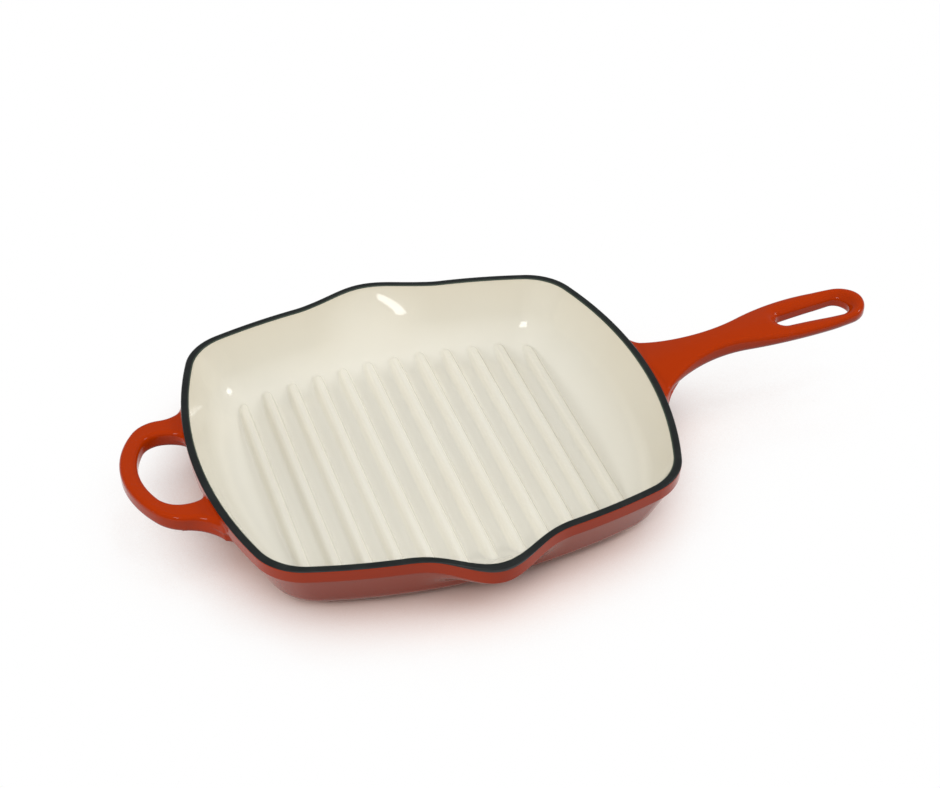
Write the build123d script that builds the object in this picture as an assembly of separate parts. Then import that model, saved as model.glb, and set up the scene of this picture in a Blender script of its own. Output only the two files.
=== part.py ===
from build123d import *
from collections import namedtuple
from math import cos, hypot, pi, radians, sin, sqrt, tan
import os

# A square grill pan of enamelled cast iron, in millimetres.
# The origin is on the floor under the middle of the basin. +X points along the
# long handle, the ridges run along Y, and the two pouring lips are at +Y and -Y.

# Rim, seen from above
rim_height = 42.0
rim_half_length = 129.8
rim_half_width = 116.6
end_bow_radius = 242.0
side_bow_radius = 331.0
rim_corner_radius = 31.8
rim_band_width = 4.6
rim_edge_round = 1.0

# Pouring lips
lip_reach = 12.5
lip_half_span = 44.5
lip_dip = 2.5
lip_dip_half_span = 30.0
lip_tip_share = 0.33
lip_side_share = 0.45
outer_lip_hold_depth = 8.0
outer_lip_fade_depth = 27.0
inner_lip_hold_depth = 0.0
inner_lip_fade_depth = 30.0
lip_steps = 4

# Outside of the wall, from the rim down
collar_depth = 8.5
collar_draft = 0.6
collar_step = 1.6
collar_step_depth = 0.8
outer_lean = 24.0
base_round = 14.0
outer_corner_share = 0.45

# Inside of the basin
floor_thickness = 5.5
basin_depth = rim_height - floor_thickness
inner_lean = 24.0
floor_round = 30.0
inner_corner_share = 0.3

# Ridges of the grill floor
ridge_count = 12
ridge_pitch = 15.75
ridge_base_width = 7.6
ridge_top_width = 4.4
ridge_height = 4.6
ridge_top_round = 1.5

# Long handle, its lengths taken from the rim's end outward
waist_reach = 42.2
swell_reach = 50.0
tip_reach = 40.5
waist_half_width = 10.3
swell_half_width = 17.0
buried_half_width = 48.8
root_inset = 1.8
handle_buried_length = 12.0
handle_root = rim_half_length - root_inset
handle_inner_end = handle_root - handle_buried_length
handle_waist = rim_half_length + waist_reach
handle_swell = handle_waist + swell_reach
handle_tip = handle_swell + tip_reach
handle_root_drop = 2.2
handle_tip_rise = 11.5
handle_root_height = rim_height - handle_root_drop
handle_tip_height = rim_height + handle_tip_rise
handle_arch = 2.7
handle_thickness = 8.8
handle_top_round = 2.4
handle_under_round = 3.8

# Hang slot in the long handle, placed from its tip
slot_tip_wall = 14.5
slot_span = 33.0
slot_wide_place = handle_tip - slot_tip_wall
slot_narrow_place = slot_wide_place - slot_span
slot_narrow_radius = 5.2
slot_wide_radius = 7.2
slot_edge_round = 2.6

# Helper handle, a loop at the other end
loop_length = 38.0
loop_reach = rim_half_length + loop_length
loop_front_bow = 62.0
loop_half_width = 42.4
loop_corner_radius = 20.0
loop_front_strap = 10.0
loop_opening_half_width = 29.8
loop_opening_corner = 12.0
loop_opening_narrowing = 9.55
loop_shoulder = 3.4
loop_flare = 7.4
loop_root_inset = 5.8
loop_root = rim_half_length - loop_root_inset
loop_buried_length = 13.0
loop_drop = 3.0
loop_height = rim_height - loop_drop
loop_thickness = 11.0
loop_edge_round = 3.2

# Coats and construction
coat_thickness = 0.4
cut_overrun = 5.0
round_steps = 6

Outline = namedtuple("Outline", "half_length half_width end_bow side_bow corner lip")
Level = namedtuple("Level", "height outline")


def circles_meet(first, first_radius, second, second_radius):
    """The point on both circles that lies left of the way from first to second."""
    dx, dy = second[0] - first[0], second[1] - first[1]
    gap = hypot(dx, dy)
    along = (gap ** 2 + first_radius ** 2 - second_radius ** 2) / (gap * 2)
    across = sqrt(first_radius ** 2 - along ** 2)
    return (
        first[0] + (dx * along - dy * across) / gap,
        first[1] + (dy * along + dx * across) / gap,
    )


def toward(start, goal, distance):
    """The point at a distance from start, on the line to goal."""
    gap = hypot(goal[0] - start[0], goal[1] - start[1])
    return tuple(a + (b - a) * distance / gap for a, b in zip(start, goal))


def round_arc(centre, radius, start, end):
    """The shorter arc about a centre between two of its points."""
    middle = ((start[0] + end[0]) / 2, (start[1] + end[1]) / 2)
    return ThreePointArc(start, toward(centre, middle, radius), end)


def bend_radius(run, rise):
    """Radius of an arc that starts level and rises so far over that run."""
    return (run ** 2 + rise ** 2) / (rise * 2)


def flipped(points, sx, sy):
    return [(x * sx, y * sy) for x, y in points]


def raised(face, height):
    """A plan face made solid, upward."""
    return extrude(face, amount=height, dir=(0, 0, 1))


def outline_wire(level):
    """The pan's outline at one height: bowed ends and sides, round corners, two lips."""
    o = level.outline
    end_centre = (o.half_length - o.end_bow, 0)
    side_centre = (0, o.half_width - o.side_bow)
    corner = circles_meet(end_centre, o.end_bow - o.corner, side_centre, o.side_bow - o.corner)
    end_point = toward(end_centre, corner, o.end_bow)
    side_point = toward(side_centre, corner, o.side_bow)
    lip_foot = (lip_half_span, side_centre[1] + sqrt(o.side_bow ** 2 - lip_half_span ** 2))
    lip_top = (0, o.half_width + o.lip)
    slope = lip_half_span / (lip_foot[1] - side_centre[1])
    side_arm = lip_half_span * lip_side_share
    foot_arm = (lip_foot[0] - side_arm, lip_foot[1] + side_arm * slope)
    top_arm = (lip_half_span * lip_tip_share, lip_top[1])
    points = [end_point, corner, side_point, side_centre, lip_foot, foot_arm, top_arm, lip_top]

    def corner_to_lip(sx, sy):
        ep, c, sp, sc, lf, fa, ta, lt = flipped(points, sx, sy)
        return [
            round_arc(c, o.corner, ep, sp),
            round_arc(sc, o.side_bow, sp, lf),
            Bezier(lf, fa, ta, lt),
        ]

    def lip_to_corner(sx, sy):
        ep, c, sp, sc, lf, fa, ta, lt = flipped(points, sx, sy)
        return [
            Bezier(lt, ta, fa, lf),
            round_arc(sc, o.side_bow, lf, sp),
            round_arc(c, o.corner, sp, ep),
        ]

    def end_arc(sx):
        x, y = end_point
        return ThreePointArc((x * sx, y * -sx), (o.half_length * sx, 0), (x * sx, y * sx))

    edges = corner_to_lip(1, 1) + lip_to_corner(-1, 1) + [end_arc(-1)]
    edges += corner_to_lip(-1, -1) + lip_to_corner(1, -1) + [end_arc(1)]
    return Pos(0, 0, level.height) * Wire(edges)


def level_at(depth, inset, corner_share, hold_depth, fade_depth):
    """The outline at a depth under the rim, drawn in by an inset from the rim's outer line."""
    faded = (depth - hold_depth) / (fade_depth - hold_depth)
    fade = (1 + cos(pi * min(max(faded, 0), 1))) / 2
    outline = Outline(
        rim_half_length - inset,
        rim_half_width - inset,
        end_bow_radius - inset,
        side_bow_radius - inset,
        rim_corner_radius - inset * corner_share,
        lip_reach * fade,
    )
    return Level(rim_height - depth, outline)


def round_places(centre_inset, centre_depth, radius, lean):
    """Places down a rounding, from a leaning wall to a level floor."""
    angles = [lean + (radians(90) - lean) * i / round_steps for i in range(round_steps + 1)]
    return [(centre_depth + radius * sin(a), centre_inset - radius * cos(a)) for a in angles]


def stacked(places, corner_share, hold_depth, fade_depth):
    levels = [level_at(*place, corner_share, hold_depth, fade_depth) for place in places]
    return Solid.make_loft([outline_wire(level) for level in levels], ruled=True)


def outer_body(coat):
    """The pan without handles, filled, seen as its outer surface less a coat."""
    lean = radians(outer_lean)
    foot_depth = collar_depth + collar_step_depth
    foot_inset = collar_draft + collar_step
    round_start = rim_height - base_round * (1 - sin(lean))
    round_inset = foot_inset + (round_start - foot_depth) * tan(lean)
    centre_inset = round_inset + base_round * cos(lean)
    lip_levels = [
        foot_depth + (outer_lip_fade_depth - foot_depth) * i / lip_steps
        for i in range(1, lip_steps + 1)
    ]
    places = [
        (0, rim_edge_round + coat),
        (rim_edge_round, coat),
        (collar_depth, collar_draft + coat),
        (foot_depth, foot_inset + coat),
    ]
    places += [(d, foot_inset + (d - foot_depth) * tan(lean) + coat) for d in lip_levels]
    places += round_places(centre_inset, rim_height - base_round, base_round - coat, lean)
    return stacked(places, outer_corner_share, outer_lip_hold_depth, outer_lip_fade_depth)


def basin_cavity(coat):
    """The hollow of the basin without ridges, grown by a coat."""
    lean = radians(inner_lean)
    round_start = basin_depth - floor_round * (1 - sin(lean))
    round_inset = rim_band_width + (round_start - rim_edge_round) * tan(lean)
    middle_depth = (rim_edge_round + round_start) / 2
    middle_inset = (rim_band_width + round_inset) / 2
    centre_inset = round_inset + floor_round * cos(lean)
    edge_inset = rim_band_width - rim_edge_round
    places = [
        (-cut_overrun, edge_inset - coat),
        (0, edge_inset - coat),
        (rim_edge_round, rim_band_width - coat),
        (middle_depth, middle_inset - coat),
    ]
    places += round_places(centre_inset, basin_depth - floor_round, floor_round + coat, lean)
    return stacked(places, inner_corner_share, inner_lip_hold_depth, inner_lip_fade_depth)


def ridge_face(coat):
    """Section of one ridge across its length, less a coat."""
    foot = rim_height - basin_depth - coat
    top = foot + ridge_height
    half_base = ridge_base_width / 2 - coat
    half_top = ridge_top_width / 2 - coat
    outline = Polyline(
        (-half_base, foot - cut_overrun),
        (-half_base, foot),
        (-half_top, top),
        (half_top, top),
        (half_base, foot),
        (half_base, foot - cut_overrun),
        close=True,
    )
    face = make_face(Plane.XZ * outline)
    shoulders = face.vertices().group_by(Axis.Z)[-1]
    return fillet(shoulders, radius=ridge_top_round - coat)


def ridges(coat):
    """All ridges, longer than the basin."""
    bar = extrude(ridge_face(coat), amount=rim_half_width, both=True)
    first = -ridge_pitch * (ridge_count - 1) / 2
    return Part() + [Pos(first + ridge_pitch * i, 0, 0) * bar for i in range(ridge_count)]


def above_rim(coat):
    """All that lies over the rim's top face, lowered by a coat, with the dip at the lips."""
    length = rim_half_length * 2 + cut_overrun
    width = (rim_half_width + lip_reach) * 2 + cut_overrun
    slab = Pos(0, 0, rim_height - coat) * Box(
        length, width, cut_overrun * 2, align=(Align.CENTER, Align.CENTER, Align.MIN)
    )
    dip_radius = bend_radius(lip_dip_half_span, lip_dip)
    dip = Cylinder(dip_radius + coat, width, rotation=(90, 0, 0))
    return slab + Pos(0, 0, rim_height - lip_dip + dip_radius) * dip


def handle_plan(coat):
    """Long handle from above: flared root, waist, swell and round tip."""
    flare_radius = bend_radius(handle_waist - handle_inner_end, buried_half_width - waist_half_width)
    flare_centre = (handle_waist, waist_half_width + flare_radius)
    rise = swell_half_width - waist_half_width
    swell_radius = bend_radius(swell_reach, rise) - flare_radius
    swell_drop = swell_radius - swell_half_width
    swell_centre = (handle_swell, -swell_drop)
    spare = swell_radius - tip_reach
    tip_radius = (swell_radius ** 2 - tip_reach ** 2 - swell_drop ** 2) / (spare * 2)
    tip_centre = (handle_tip - tip_radius, 0)
    flare = flare_radius + coat
    buried_run = handle_waist - handle_inner_end
    start = (handle_inner_end, flare_centre[1] - sqrt(flare ** 2 - buried_run ** 2))
    joint = toward(flare_centre, swell_centre, flare)
    shoulder = toward(swell_centre, tip_centre, swell_radius - coat)
    s, j, h = start, joint, shoulder
    ms, mj, mh = flipped([s, j, h], 1, -1)
    edges = [
        round_arc(flare_centre, flare, s, j),
        round_arc(swell_centre, swell_radius - coat, j, h),
        ThreePointArc(h, (handle_tip - coat, 0), mh),
        round_arc((swell_centre[0], -swell_centre[1]), swell_radius - coat, mh, mj),
        round_arc((flare_centre[0], -flare_centre[1]), flare, mj, ms),
        Line(ms, s),
    ]
    return Face(Wire(edges))


def handle_profile(coat):
    """Long handle from the side: an arched strip of even thickness."""
    run = handle_tip - handle_root
    rise = handle_tip_height - handle_root_height
    chord = hypot(run, rise)
    radius = (chord ** 2 / 4 + handle_arch ** 2) / (handle_arch * 2)
    middle = (handle_root + run / 2, handle_root_height + rise / 2)
    drop = radius - handle_arch
    centre = (middle[0] + rise / chord * drop, middle[1] - run / chord * drop)

    def place(x, under):
        r = radius - under
        return (x, centre[1] + sqrt(r ** 2 - (x - centre[0]) ** 2))

    outer_end = handle_tip + cut_overrun
    ends = (handle_inner_end, (handle_inner_end + outer_end) / 2, outer_end)
    top = [place(x, coat) for x in ends]
    under = [place(x, handle_thickness - coat) for x in reversed(ends)]
    edges = [
        ThreePointArc(*top),
        Line(top[-1], under[0]),
        ThreePointArc(*under),
        Line(under[-1], top[0]),
    ]
    return Plane.XZ * Face(Wire(edges))


def slot_plan(coat):
    """Hang slot from above: two rounds of different size joined by straight sides."""
    narrow, wide = slot_narrow_radius + coat, slot_wide_radius + coat
    lean_sine = (slot_wide_radius - slot_narrow_radius) / (slot_wide_place - slot_narrow_place)
    lean_cosine = sqrt(1 - lean_sine ** 2)
    near = (slot_narrow_place - narrow * lean_sine, narrow * lean_cosine)
    far = (slot_wide_place - wide * lean_sine, wide * lean_cosine)
    edges = [
        Line(near, far),
        ThreePointArc(far, (slot_wide_place + wide, 0), (far[0], -far[1])),
        Line((far[0], -far[1]), (near[0], -near[1])),
        ThreePointArc((near[0], -near[1]), (slot_narrow_place - narrow, 0), near),
    ]
    return Face(Wire(edges))


def rounded_strip(solid, buried_reach, top_round, under_round):
    """Rounds the upper and lower edges, but not those buried in the wall."""
    def upward(face):
        return face.normal_at(face.center()).Z * face.area

    def free_edges(face):
        return [e for e in face.edges() if abs(e.center().X) > buried_reach]

    solid = fillet(free_edges(max(solid.faces(), key=upward)), radius=top_round)
    return fillet(free_edges(min(solid.faces(), key=upward)), radius=under_round)


def long_handle(coat):
    """The long handle less a coat, with its buried root and the hang slot."""
    height = rim_height * 2
    strip = raised(handle_plan(coat), height) & extrude(
        handle_profile(coat), amount=rim_half_width, both=True
    )
    buried_reach = handle_inner_end + coat_thickness
    strip = rounded_strip(strip, buried_reach, handle_top_round - coat, handle_under_round - coat)
    strip = strip - raised(slot_plan(coat), height)
    slot_length = slot_wide_place - slot_narrow_place + slot_wide_radius + slot_narrow_radius
    middle = slot_narrow_place - slot_narrow_radius + slot_length / 2
    slot_edges = [
        e for e in strip.edges()
        if abs(e.center().X - middle) < slot_length / 2 + coat_thickness * 2
        and abs(e.center().Y) < slot_wide_radius + coat_thickness * 2
        and abs((e @ 0).Z - (e @ 1).Z) < handle_thickness / 2
    ]
    return fillet(slot_edges, radius=slot_edge_round - coat / 2)


def loop_plan(coat):
    """Outer line of the helper handle from above, with flared feet."""
    front_centre = (-(loop_reach - loop_front_bow), 0)
    corner_height = loop_half_width - loop_corner_radius
    corner_run = sqrt((loop_front_bow - loop_corner_radius) ** 2 - corner_height ** 2)
    corner_centre = (front_centre[0] - corner_run, corner_height)
    foot_x = corner_centre[0] + loop_shoulder
    flare_run = -loop_root - foot_x
    foot_radius = bend_radius(flare_run, loop_flare)
    foot_centre = (foot_x, loop_half_width + foot_radius)
    foot_round = foot_radius + coat
    front = loop_front_bow - coat
    tangent = toward(front_centre, corner_centre, front)
    peak = (corner_centre[0], loop_half_width - coat)
    foot = (foot_x, loop_half_width - coat)
    flare_end = (-loop_root, foot_centre[1] - sqrt(foot_round ** 2 - flare_run ** 2))
    buried = (-loop_root + loop_buried_length, flare_end[1])
    t, p, f, e, b = tangent, peak, foot, flare_end, buried
    mt, mp, mf, me, mb = flipped([t, p, f, e, b], 1, -1)
    corner = loop_corner_radius - coat
    edges = [
        Line(b, e),
        round_arc(foot_centre, foot_round, e, f),
        Line(f, p),
        round_arc(corner_centre, corner, p, t),
        ThreePointArc(t, (-loop_reach + coat, 0), mt),
        round_arc((corner_centre[0], -corner_centre[1]), corner, mt, mp),
        Line(mp, mf),
        round_arc((foot_centre[0], -foot_centre[1]), foot_round, mf, me),
        Line(me, mb),
        Line(mb, b),
    ]
    return Face(Wire(edges))


def loop_opening_plan(coat):
    """The finger gap of the helper handle from above, running on into the wall."""
    front_centre = (-(loop_reach - loop_front_bow), 0)
    front = loop_front_bow - loop_front_strap
    corner_height = loop_opening_half_width - loop_opening_corner
    corner_run = sqrt((front - loop_opening_corner) ** 2 - corner_height ** 2)
    corner_centre = (front_centre[0] - corner_run, corner_height)
    root_run = -loop_root - corner_centre[0]
    root_radius = bend_radius(root_run, loop_opening_narrowing)
    root_centre = (corner_centre[0], loop_opening_half_width - root_radius)
    root = root_radius + coat
    peak = (corner_centre[0], loop_opening_half_width + coat)
    tangent = toward(front_centre, corner_centre, front + coat)
    wall = (-loop_root, root_centre[1] + sqrt(root ** 2 - root_run ** 2))
    t, p, w = tangent, peak, wall
    mt, mp, mw = flipped([t, p, w], 1, -1)
    corner = loop_opening_corner + coat
    edges = [
        round_arc(root_centre, root, w, p),
        round_arc(corner_centre, corner, p, t),
        ThreePointArc(t, (front_centre[0] - front - coat, 0), mt),
        round_arc((corner_centre[0], -corner_centre[1]), corner, mt, mp),
        round_arc((root_centre[0], -root_centre[1]), root, mp, mw),
        Line(mw, w),
    ]
    return Face(Wire(edges))


def helper_handle(coat):
    """The loop handle less a coat, with its feet buried in the wall."""
    bottom = loop_height - loop_thickness + coat
    height = loop_thickness - coat * 2
    loop = raised(loop_plan(coat), height) - raised(loop_opening_plan(coat), height)
    loop = Pos(0, 0, bottom) * loop
    round_radius = loop_edge_round - coat
    return rounded_strip(loop, loop_root, round_radius, round_radius)


def single_solids(shape):
    """The real solids of a cut, without slivers thinner than a coat."""
    least = coat_thickness ** 3
    return Compound([s for s in shape.solids() if s.volume > least])


def build_parts():
    outer, iron_outer = outer_body(0), outer_body(coat_thickness)
    cavity = basin_cavity(0) - ridges(0)
    iron_cavity = basin_cavity(coat_thickness) - ridges(coat_thickness)
    over_iron, over_rim = above_rim(coat_thickness), above_rim(0)
    handle, iron_handle = long_handle(0), long_handle(coat_thickness)
    loop, iron_loop = helper_handle(0), helper_handle(coat_thickness)
    outer_coat = outer - iron_outer - iron_handle - iron_loop - over_iron
    base_slab = Box(
        rim_half_length * 2, rim_half_width * 2, coat_thickness,
        align=(Align.CENTER, Align.CENTER, Align.MIN),
    )
    return {
        "basin_casting": iron_outer - iron_cavity - over_iron,
        "long_handle_casting": iron_handle - iron_outer,
        "helper_handle_casting": iron_loop - iron_outer,
        "rim_ground_coat": ((outer - basin_cavity(0)) & over_iron) - over_rim,
        "outer_wall_enamel": outer_coat - base_slab,
        "base_enamel": outer_coat & base_slab,
        "long_handle_enamel": handle - iron_handle - outer,
        "helper_handle_enamel": loop - iron_loop - outer,
        "interior_enamel": iron_cavity - cavity - over_iron,
    }


os.makedirs("parts", exist_ok=True)
for name, shape in build_parts().items():
    piece = single_solids(shape)
    print(name, len(piece.solids()), "solid", round(piece.volume / 1000, 2), "cm3")
    export_step(piece, f"parts/{name}.step")
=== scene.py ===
import math

import bmesh
import bpy
import numpy as np
from bpy.props import FloatProperty, FloatVectorProperty, IntProperty, PointerProperty
from mathutils import Matrix, Vector
from mathutils.geometry import delaunay_2d_cdt


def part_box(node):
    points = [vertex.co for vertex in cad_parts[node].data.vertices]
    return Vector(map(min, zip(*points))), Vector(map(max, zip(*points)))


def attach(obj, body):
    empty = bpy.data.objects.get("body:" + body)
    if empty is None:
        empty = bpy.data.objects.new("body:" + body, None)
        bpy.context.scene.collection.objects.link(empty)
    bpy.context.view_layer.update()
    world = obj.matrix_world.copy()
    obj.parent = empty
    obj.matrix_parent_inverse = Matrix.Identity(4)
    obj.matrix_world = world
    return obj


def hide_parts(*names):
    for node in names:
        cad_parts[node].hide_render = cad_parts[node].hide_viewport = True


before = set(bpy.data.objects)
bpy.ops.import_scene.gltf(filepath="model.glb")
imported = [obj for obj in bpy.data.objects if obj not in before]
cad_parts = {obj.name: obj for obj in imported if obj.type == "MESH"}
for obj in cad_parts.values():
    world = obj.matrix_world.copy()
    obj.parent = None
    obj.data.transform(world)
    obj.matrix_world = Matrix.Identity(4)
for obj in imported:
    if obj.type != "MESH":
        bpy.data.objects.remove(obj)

# An enamelled cast iron grill pan. Lengths are metres, in the frame of the packed model:
# +X along the long handle, ridges along Y, pouring lips at +Y and -Y, floor at z = 0.

bl_info = {
    "name": "Enamelled grill pan",
    "version": (1, 0, 0),
    "blender": (4, 5, 0),
    "location": "3D View > Sidebar > Grill pan",
    "description": "Builds the enamel coats, rim and handles of a square cast iron grill pan",
    "category": "Add Mesh",
}

MM = 0.001
RIM_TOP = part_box("rim_ground_coat")[1].z
WALL_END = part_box("outer_wall_enamel")[1].x
HANDLE_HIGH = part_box("long_handle_enamel")[1]
LOOP_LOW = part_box("helper_handle_enamel")[0]
LOOP_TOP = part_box("helper_handle_enamel")[1].z

# Random patterns: scale, detail and roughness. Marks are about 1 / scale metres wide.
ORANGE_CLOUD = (18.0, 3.0)
ORANGE_PEEL = (150.0, 1.0)
ORANGE_FINE_PEEL = (900.0, 1.0)
ORANGE_SHEEN = (40.0, 2.0)
CREAM_CLOUD = (14.0, 3.0)
CREAM_PEEL = (130.0, 1.0)
CREAM_FINE_PEEL = (800.0, 1.0)
CREAM_SHEEN = (45.0, 2.0)
RIM_SAND = (1400.0, 2.0)
RIM_GRAIN = (260.0, 2.0)
RIM_DUST = (90.0, 4.0, 0.7)
IRON_SAND = (700.0, 4.0, 0.7)
# Heights over the table: below the first, the orange outside is darkened with painted shade;
# towards the second, the cream inside warms with painted bounce light
OUTSIDE_SHADE_TOP = 30 * MM
INSIDE_BOUNCE_TOP = 40 * MM
# The slot's edge changes from its lower to its upper radius between these shares of the thickness
SLOT_LOW_SHARE, SLOT_HIGH_SHARE = 1 / 6, 5 / 6
# Where a handle meets the wall: the fillet's full depth under the rim, its least share of the
# full softness, and how far the kept skin stands out of the wall
JOINT_DEPTH = 6 * MM
JOINT_EASE = 0.1
JOINT_LEAST = 0.02
JOINT_SKIN = 0.015 * MM
# The last angle of the rounding that belongs to the wall, and of the one inside
WALL_TURN = 88
BOWL_TURN = 54
# Points on a field's surface: moves onto the surface, and the least slope that a move trusts
SURFACE_MOVES = 4
LEAST_SLOPE = 0.1


def length(label, default, text):
    """A size setting, in metres."""
    return FloatProperty(name=label, description=text, default=default, unit="LENGTH", precision=5)


def share(label, default, text):
    """A setting from 0 to 1."""
    return FloatProperty(
        name=label, description=text, default=default, min=0, max=1, subtype="FACTOR"
    )


def colour(label, default, text):
    """A linear colour setting."""
    return FloatVectorProperty(
        name=label, description=text, default=default, size=3, min=0, max=1, subtype="COLOR"
    )


class GrillPanBasin(bpy.types.PropertyGroup):
    """Sizes of the basin: its outline, walls, lips and rim."""

    half_length: length("Half length", WALL_END, "Middle of the basin to the middle of an end")
    half_width: length("Half width", 116.6 * MM, "Middle of the basin to the middle of a side")
    end_bow: length("End bow radius", 242 * MM, "Radius of the bowed ends")
    side_bow: length("Side bow radius", 331 * MM, "Radius of the bowed sides")
    corner_radius: length("Corner radius", 31.8 * MM, "Radius of the rim's corners")
    rim_height: length("Rim height", RIM_TOP, "Height of the rim over the table")
    rim_band: length("Rim band", 4.6 * MM, "Width of the black rim")
    rim_round: length("Rim edge round", 1.1 * MM, "Radius of the rim's edges")
    rim_skirt: length("Rim skirt", 0.5 * MM, "How far the black reaches over the rim's edges")
    lip_skirt: length("Lip skirt", 1.8 * MM, "How much further it reaches down at the lips")
    lip_reach: length("Lip reach", 12.5 * MM, "How far a pouring lip stands out")
    lip_half_span: length("Lip half span", 44.5 * MM, "Middle of a lip to where it starts")
    lip_dip: length("Lip dip", 2.5 * MM, "How far the rim dips at a lip")
    lip_dip_span: length("Lip dip span", 37 * MM, "Middle of a lip to where the dip starts")
    lip_droop: length("Lip droop", 3.4 * MM, "How much taller the collar is at a lip")
    lip_droop_span: length("Lip droop span", 33 * MM, "Middle of a lip to where it is taller")
    lip_tip_share: share("Lip tip fullness", 0.33, "Arm of the lip's curve at its tip")
    lip_side_share: share("Lip side fullness", 0.45, "Arm of the lip's curve at its foot")
    outer_hold: length("Outer lip hold", 9 * MM, "Depth to which a lip stays full, outside")
    outer_fade: length("Outer lip depth", 27 * MM, "Depth where a lip has died out, outside")
    inner_fade: length("Inner lip depth", 30 * MM, "Depth where a lip has died out, inside")
    collar_depth: length("Collar depth", 8.5 * MM, "Height of the upright collar under the rim")
    collar_draft: length("Collar draft", 0.6 * MM, "How far the collar draws in")
    collar_step: length("Collar step", 1.6 * MM, "Step under the collar")
    collar_ease: length("Collar step height", 1.5 * MM, "Height over which the step is rounded")
    base_round: length("Base round", 22 * MM, "Radius between wall and base, outside")
    floor_thickness: length("Floor thickness", 5.5 * MM, "Floor between the ridges")
    floor_round: length("Floor round", 30 * MM, "Radius between wall and floor, inside")
    lean: FloatProperty(
        name="Wall lean", description="Lean of the walls, inside and outside",
        default=math.radians(24), subtype="ANGLE",
    )
    outer_corner_share: share("Outer corner share", 0.3, "Corner radius lost per inset, outside")
    inner_corner_share: share("Inner corner share", 0.3, "Corner radius lost per inset, inside")


class GrillPanRidges(bpy.types.PropertyGroup):
    """Sizes of the ridges on the grill floor."""

    count: IntProperty(name="Ridges", description="Number of ridges", default=12, min=1)
    pitch: length("Pitch", 15.75 * MM, "Distance from ridge to ridge")
    height: length("Height", 4.6 * MM, "Height of a ridge over the floor")
    half_top: length("Half top", 1.4 * MM, "Middle of a ridge to where its flank starts")
    half_base: length("Half base", 4.8 * MM, "Middle of a ridge to where its flank ends")
    end_start: length("End start", 12 * MM, "How far a ridge runs into the floor's rounding")
    end_blend: length("End blend", 3.0 * MM, "Softness of a ridge's end in the wall's curve")


class GrillPanHandles(bpy.types.PropertyGroup):
    """Sizes of the long handle and of the loop opposite."""

    tip: length("Tip", HANDLE_HIGH.x, "Middle of the basin to the long handle's tip")
    tip_top: length("Tip height", HANDLE_HIGH.z + 2.1 * MM, "Height of the long handle's tip")
    root_drop: length("Root drop", 1.9 * MM, "How far the handle's root lies under the rim")
    root_inset: length("Root inset", 1.8 * MM, "Rim's end to the handle's root")
    buried: length("Buried length", 12 * MM, "Root of the handle inside the wall")
    buried_half_width: length("Buried half width", 51.3 * MM, "Half width of the flare's end")
    waist_reach: length("Waist reach", 42.4 * MM, "Rim's end to the narrowest place")
    swell_reach: length("Swell reach", 53.5 * MM, "Narrowest place to the widest")
    waist: length("Waist half width", 9.1 * MM, "Half width at the narrowest place")
    swell: length("Swell half width", 16.5 * MM, "Half width at the widest place")
    arch: length("Arch", 4.8 * MM, "Rise of the handle's back over a straight line")
    thickness: length("Root thickness", 11.5 * MM, "Thickness at the root's middle line")
    tip_thickness: length("Tip thickness", 10.0 * MM, "Thickness at the tip's middle line")
    top_round: length("Top edge round", 2.4 * MM, "Radius of the upper edges")
    under_round: length("Under edge round", 4.4 * MM, "Radius of the lower edges")
    crown: length("Crown radius", 45 * MM, "Radius of the handle's back across the middle line")
    crown_reach: length("Crown reach", 18 * MM, "Middle line to where the crown runs out")
    belly: length("Belly radius", 75 * MM, "Radius of the underside across the handle")
    tip_lift: length("Tip lift", 1.0 * MM, "How far the tip's back rises over the arch")
    tip_lift_reach: length("Tip lift reach", 26 * MM, "Tip to where the lift starts")
    tip_lift_run: length("Tip lift run", 16.25 * MM, "Where the lift starts to where it is full")
    slot_wall: length("Slot wall", 16.3 * MM, "Tip to the centre of the slot's round end")
    slot_span: length("Slot span", 31.6 * MM, "Distance between the slot's two centres")
    slot_wide: length("Slot wide radius", 7.6 * MM, "Radius of the slot's round end")
    slot_narrow: length("Slot narrow radius", 5.5 * MM, "Radius of the slot's narrow end")
    slot_round: length("Slot edge round", 7.0 * MM, "Radius of the slot's upper edge")
    slot_under_round: length("Slot under round", 1.6 * MM, "Radius of the slot's lower edge")
    loop_reach: length("Loop reach", -LOOP_LOW.x - 1.1 * MM, "Basin's middle to the loop's front")
    loop_top: length("Loop height", LOOP_TOP + 3.4 * MM, "Height of the loop's front")
    loop_rise: length("Loop rise", 4.8 * MM, "How much higher the loop's front is than its root")
    loop_taper: share("Loop taper", 0.065, "Width lost from the loop's root to its front")
    loop_thickness: length("Loop thickness", LOOP_TOP - LOOP_LOW.z - 1.1 * MM, "Loop's thickness")
    loop_bow: length("Loop bow", 60 * MM, "Radius of the loop's front")
    loop_half_width: length("Loop half width", 43.3 * MM, "Half width of the loop")
    loop_corner: length("Loop corner", 19.7 * MM, "Radius of the loop's outer corners")
    loop_strap: length("Loop strap", 9.4 * MM, "Width of the strap at the front")
    loop_gap: length("Finger gap", 30.1 * MM, "Half width of the finger gap")
    loop_gap_corner: length("Finger gap corner", 12.4 * MM, "Radius of the gap's front corners")
    loop_gap_narrowing: length("Gap narrowing", 8.1 * MM, "How far the gap narrows to the wall")
    loop_shoulder: length("Loop shoulder", 1.3 * MM, "Straight stretch between corner and foot")
    loop_flare: length("Loop flare", 7.0 * MM, "How far a foot flares out")
    loop_low_flare: length("Loop low flare", 4.3 * MM, "How much wider a foot flares below")
    loop_low_reach: length("Loop low reach", 6 * MM, "How much earlier it flares below")
    loop_root_inset: length("Loop root inset", 5.8 * MM, "Rim's end to where a foot ends")
    loop_round: length("Loop edge round", 2.7 * MM, "Radius of the loop's edges")
    root_blend: length("Root blend", 14 * MM, "Softness of the joint of long handle and wall")
    loop_blend: length("Loop blend", 5 * MM, "Softness of the joint of loop and wall")
    fineness: length("Mesh step", 0.8 * MM, "Distance between points of the handles' meshes")


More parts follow.
